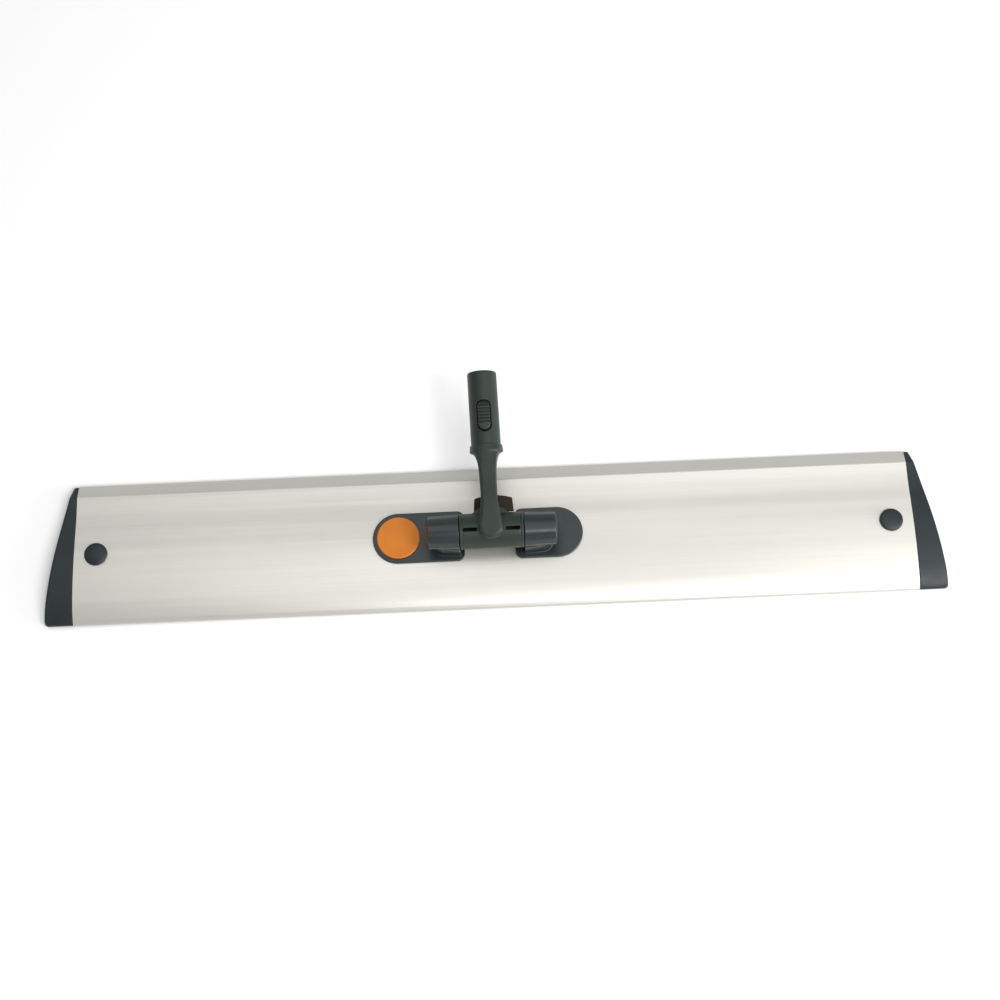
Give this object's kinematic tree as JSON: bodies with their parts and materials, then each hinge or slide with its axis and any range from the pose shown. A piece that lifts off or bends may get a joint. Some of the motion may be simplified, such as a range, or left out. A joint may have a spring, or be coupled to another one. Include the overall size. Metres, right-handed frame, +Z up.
{
  "type": "flat mop frame",
  "caption": "Long flat mop frame with a hollow aluminium plate, moulded end caps, hook strips beneath and a tilting, swivelling handle stub with a sprung lock button.",
  "frame": {"origin": "centre of the extrusion's flat underside, 2.3 mm behind and 26.5 mm below the joint's tilt axis", "axes": "+X along the frame's length towards the bracket without the colour disc, -Y towards the working front edge, +Z up away from the floor"},
  "size_m": [0.6, 0.1519, 0.0561],
  "materials": {
    "anodised_aluminium": "satin anodised, pale champagne silver, fine extrusion lines along the length",
    "dark_plastic": "fine-grained moulded plastic, blue-grey",
    "bracket_plastic": "satin moulded plastic, dark blue-grey",
    "grey_plastic": "satin moulded plastic, dark green-grey",
    "brown_plastic": "matt moulded plastic, dark brown",
    "orange_plastic": "satin moulded plastic, light orange",
    "hook_nylon": "woven nylon hook tape",
    "bearing_plastic": "smooth natural white bearing plastic",
    "bright_steel": "bright plated steel"
  },
  "bodies": {
    "frame": {"plate_extrusion": "anodised_aluminium", "end_cap_left": "dark_plastic", "end_cap_right": "dark_plastic", "cap_plug_left": "dark_plastic", "cap_plug_right": "dark_plastic", "hook_strip_front": "hook_nylon", "hook_strip_rear": "hook_nylon", "bracket_left": "bracket_plastic", "bracket_right": "bracket_plastic", "bracket_screw_left_front": "bright_steel", "bracket_screw_left_rear": "bright_steel", "bracket_screw_right_front": "bright_steel", "bracket_screw_right_rear": "bright_steel", "bearing_bush_left": "bearing_plastic", "bearing_bush_right": "bearing_plastic", "colour_disc": "orange_plastic"},
    "cross": {"cross_tube_front": "grey_plastic", "cross_tube_rear": "grey_plastic", "swivel_washer_upper": "bearing_plastic", "swivel_washer_lower": "bearing_plastic", "stop_tongue": "brown_plastic"},
    "handle": {"handle_stub": "grey_plastic", "swivel_pin": "bright_steel", "button_spring": "bright_steel"},
    "button": {"lock_button": "grey_plastic"}
  },
  "joints": [
    {"name": "handle_tilt", "type": "hinge", "parent": "frame", "child": "cross", "pos_m": [0, -0.0023, 0.0265], "axis": [1, 0, 0], "range_deg": [0, 160]},
    {"name": "handle_swivel", "type": "hinge", "parent": "cross", "child": "handle", "pos_m": [-0.0003, -0.0023, 0.0265], "axis": [0, -0.1736, 0.9848], "range_deg": [-46.2, 43.8]},
    {"name": "button_press", "type": "slide", "parent": "handle", "child": "button", "axis": [0, 0.1736, -0.9848], "range_m": [0, 0.0025], "stiffness_N_per_m": 800, "springref_m": -0.002, "deforming": ["button_spring"]}
  ]
}
